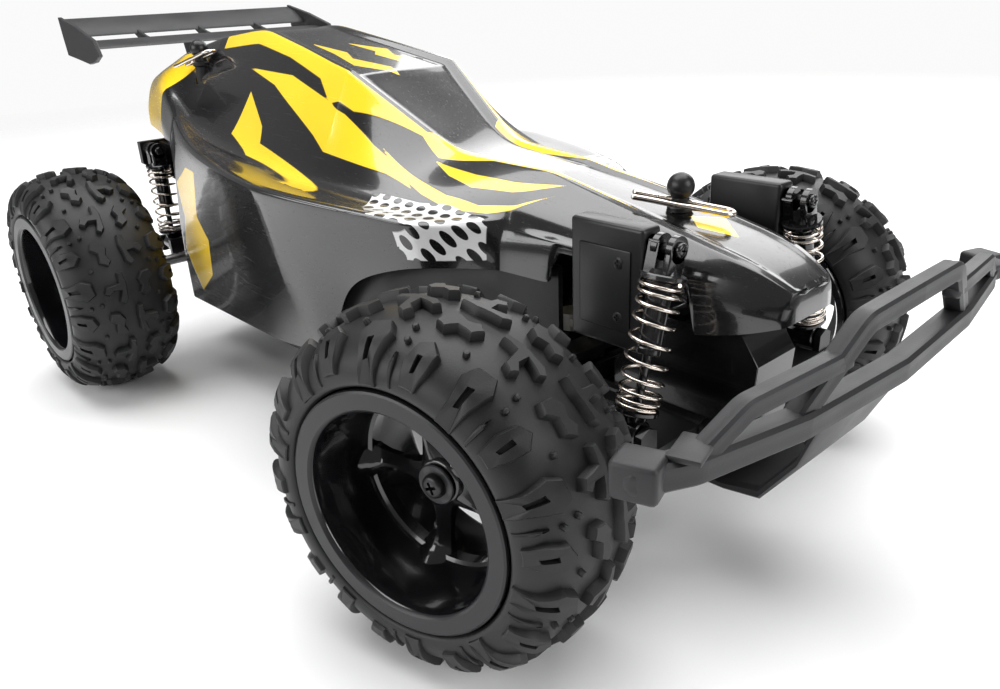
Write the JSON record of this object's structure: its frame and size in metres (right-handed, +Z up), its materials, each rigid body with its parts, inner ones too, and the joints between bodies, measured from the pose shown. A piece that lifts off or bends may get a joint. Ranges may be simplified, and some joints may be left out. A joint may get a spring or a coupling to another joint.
{
  "type": "radio controlled buggy",
  "caption": "Off-road radio controlled buggy: black and yellow body shell on a sprung chassis with steered front wheels, tube bumper and rear wing.",
  "frame": {"origin": "on the ground, under the middle of the overall box, on the centreline", "axes": "+X forward, +Y to the left of the car, +Z up; the front wheels stand steered 13.2 degrees to the left at rest"},
  "size_m": [0.358, 0.2172, 0.1485],
  "materials": {
    "tyre": "matte moulded rubber",
    "rim": "gloss black moulding",
    "body": "gloss black shell with yellow stripes",
    "nylon": "satin dark nylon",
    "chassis": "black moulding",
    "nickel": "bright nickel wire",
    "steel": "turned steel",
    "motor_can": "zinc plated can",
    "gear_white": "natural acetal",
    "battery_wrap": "shrink wrap",
    "board_green": "circuit board"
  },
  "bodies": {
    "chassis": {"chassis_tub": "chassis", "body_shell": "body", "rear_wing": "nylon", "front_bumper": "nylon", "battery_door": "nylon", "battery_pack": "battery_wrap", "receiver_board": "board_green", "steering_servo": "chassis", "front_bulkhead": "chassis", "front_tower": "nylon", "rear_tower": "nylon", "arm_pin_left": "steel", "arm_pin_right": "steel", "swing_pin": "steel", "body_post_front": "nylon", "body_post_rear_left": "nylon", "body_post_rear_right": "nylon", "shock_body_front_left": "chassis", "shock_body_rear_left": "chassis", "shock_body_front_right": "chassis", "shock_body_rear_right": "chassis", "spring_front_left": "nickel", "spring_rear_left": "nickel", "spring_front_right": "nickel", "spring_rear_right": "nickel"},
    "arm_left": {"front_arm_left": "nylon"},
    "knuckle_left": {"knuckle_left": "nylon"},
    "wheel_front_left": {"tyre_front_left": "tyre", "rim_front_left": "rim", "wheel_screw_front_left": "steel"},
    "arm_right": {"front_arm_right": "nylon"},
    "knuckle_right": {"knuckle_right": "nylon"},
    "wheel_front_right": {"tyre_front_right": "tyre", "rim_front_right": "rim", "wheel_screw_front_right": "steel"},
    "steering_bar": {"steering_bar": "nylon"},
    "servo_horn": {"servo_horn": "gear_white"},
    "rear_swing": {"rear_carrier": "nylon", "gearbox_case": "nylon", "gearbox_cover": "nylon", "drive_motor": "motor_can"},
    "rear_axle": {"rear_axle": "steel", "axle_gear": "gear_white", "tyre_rear_left": "tyre", "rim_rear_left": "rim", "wheel_screw_rear_left": "steel", "tyre_rear_right": "tyre", "rim_rear_right": "rim", "wheel_screw_rear_right": "steel"},
    "idler_gear": {"idler_gear": "gear_white"},
    "motor_pinion": {"motor_pinion": "steel"},
    "shock_rod_front_left": {"shock_rod_front_left": "steel"},
    "shock_rod_rear_left": {"shock_rod_rear_left": "steel"},
    "shock_rod_front_right": {"shock_rod_front_right": "steel"},
    "shock_rod_rear_right": {"shock_rod_rear_right": "steel"},
    "body_clip_front": {"body_clip_front": "nickel"},
    "body_clip_rear_left": {"body_clip_rear_left": "nickel"},
    "body_clip_rear_right": {"body_clip_rear_right": "nickel"},
    "power_switch": {"power_switch": "nylon"}
  },
  "joints": [
    {"name": "arm_left_travel", "type": "hinge", "parent": "chassis", "child": "arm_left", "pos_m": [0.101, 0.02, 0.046], "axis": [1, 0, 0], "range_deg": [-5, 8], "stiffness_Nm_per_rad": 4},
    {"name": "steer_left", "type": "hinge", "parent": "arm_left", "child": "knuckle_left", "pos_m": [0.101, 0.059, 0.046], "axis": [0, 0, 1], "range_deg": [-33.2, 6.8]},
    {"name": "spin_front_left", "type": "hinge", "parent": "knuckle_left", "child": "wheel_front_left", "pos_m": [0.0962, 0.07945, 0.046], "axis": [-0.2284, 0.9736, 0], "continuous": true},
    {"name": "arm_right_travel", "type": "hinge", "parent": "chassis", "child": "arm_right", "pos_m": [0.101, -0.02, 0.046], "axis": [-1, 0, 0], "range_deg": [-5, 8], "stiffness_Nm_per_rad": 4},
    {"name": "steer_right", "type": "hinge", "parent": "arm_right", "child": "knuckle_right", "pos_m": [0.101, -0.059, 0.046], "axis": [0, 0, 1], "range_deg": [-33.2, 6.8]},
    {"name": "spin_front_right", "type": "hinge", "parent": "knuckle_right", "child": "wheel_front_right", "pos_m": [0.1058, -0.07945, 0.046], "axis": [-0.2284, 0.9736, 0], "continuous": true},
    {"name": "steering_bar_slide", "type": "slide", "parent": "chassis", "child": "steering_bar", "axis": [0, 1, 0], "range_m": [-0.00204, 0.00839]},
    {"name": "servo_horn_turn", "type": "hinge", "parent": "chassis", "child": "servo_horn", "pos_m": [0.073, 0, 0.0538], "axis": [0, 0, 1], "range_deg": [-6.8, 33.2]},
    {"name": "rear_swing_travel", "type": "hinge", "parent": "chassis", "child": "rear_swing", "pos_m": [-0.071, 0, 0.046], "axis": [0, 1, 0], "range_deg": [-3, 5], "stiffness_Nm_per_rad": 12},
    {"name": "rear_axle_spin", "type": "hinge", "parent": "rear_swing", "child": "rear_axle", "pos_m": [-0.1264, 0, 0.046], "axis": [0, 1, 0], "continuous": true},
    {"name": "idler_spin", "type": "hinge", "parent": "rear_swing", "child": "idler_gear", "pos_m": [-0.10705, 0, 0.05502], "axis": [0, 1, 0], "continuous": true},
    {"name": "pinion_spin", "type": "hinge", "parent": "rear_swing", "child": "motor_pinion", "pos_m": [-0.08726, 0, 0.05851], "axis": [0, 1, 0], "continuous": true},
    {"name": "shock_front_left_stroke", "type": "slide", "parent": "chassis", "child": "shock_rod_front_left", "axis": [0, -0.2654, 0.9641], "range_m": [-0.00229, 0.00348], "deforming": ["spring_front_left"]},
    {"name": "shock_rear_left_stroke", "type": "slide", "parent": "chassis", "child": "shock_rod_rear_left", "axis": [0, 0, 1], "range_m": [-0.00388, 0.00627], "deforming": ["spring_rear_left"]},
    {"name": "shock_front_right_stroke", "type": "slide", "parent": "chassis", "child": "shock_rod_front_right", "axis": [0, 0.2654, 0.9641], "range_m": [-0.00229, 0.00348], "deforming": ["spring_front_right"]},
    {"name": "shock_rear_right_stroke", "type": "slide", "parent": "chassis", "child": "shock_rod_rear_right", "axis": [0, 0, 1], "range_m": [-0.00388, 0.00627], "deforming": ["spring_rear_right"]},
    {"name": "body_clip_front_pull", "type": "slide", "parent": "chassis", "child": "body_clip_front", "axis": [0.848, 0.5029, -0.1676], "range_m": [0, 0.022]},
    {"name": "body_clip_rear_left_pull", "type": "slide", "parent": "chassis", "child": "body_clip_rear_left", "axis": [0.9656, -0.0966, 0.2414], "range_m": [0, 0.022]},
    {"name": "body_clip_rear_right_pull", "type": "slide", "parent": "chassis", "child": "body_clip_rear_right", "axis": [0.9656, 0.0966, 0.2414], "range_m": [0, 0.022]},
    {"name": "power_switch_slide", "type": "slide", "parent": "chassis", "child": "power_switch", "axis": [1, 0, 0], "range_m": [0, 0.004]}
  ],
  "couplings": [
    {"joint": "steer_right", "follows": "steer_left", "ratio": 1},
    {"joint": "steering_bar_slide", "follows": "steer_left", "m_per_rad": -0.01379},
    {"joint": "servo_horn_turn", "follows": "steer_left", "ratio": -1},
    {"joint": "idler_spin", "follows": "rear_axle_spin", "ratio": -2.4},
    {"joint": "pinion_spin", "follows": "rear_axle_spin", "ratio": 7.2},
    {"joint": "shock_front_left_stroke", "follows": "arm_left_travel", "m_per_rad": 0.022803},
    {"joint": "shock_rear_left_stroke", "follows": "rear_swing_travel", "m_per_rad": 0.0684},
    {"joint": "shock_front_right_stroke", "follows": "arm_right_travel", "m_per_rad": 0.022803},
    {"joint": "shock_rear_right_stroke", "follows": "rear_swing_travel", "m_per_rad": 0.0684}
  ]
}
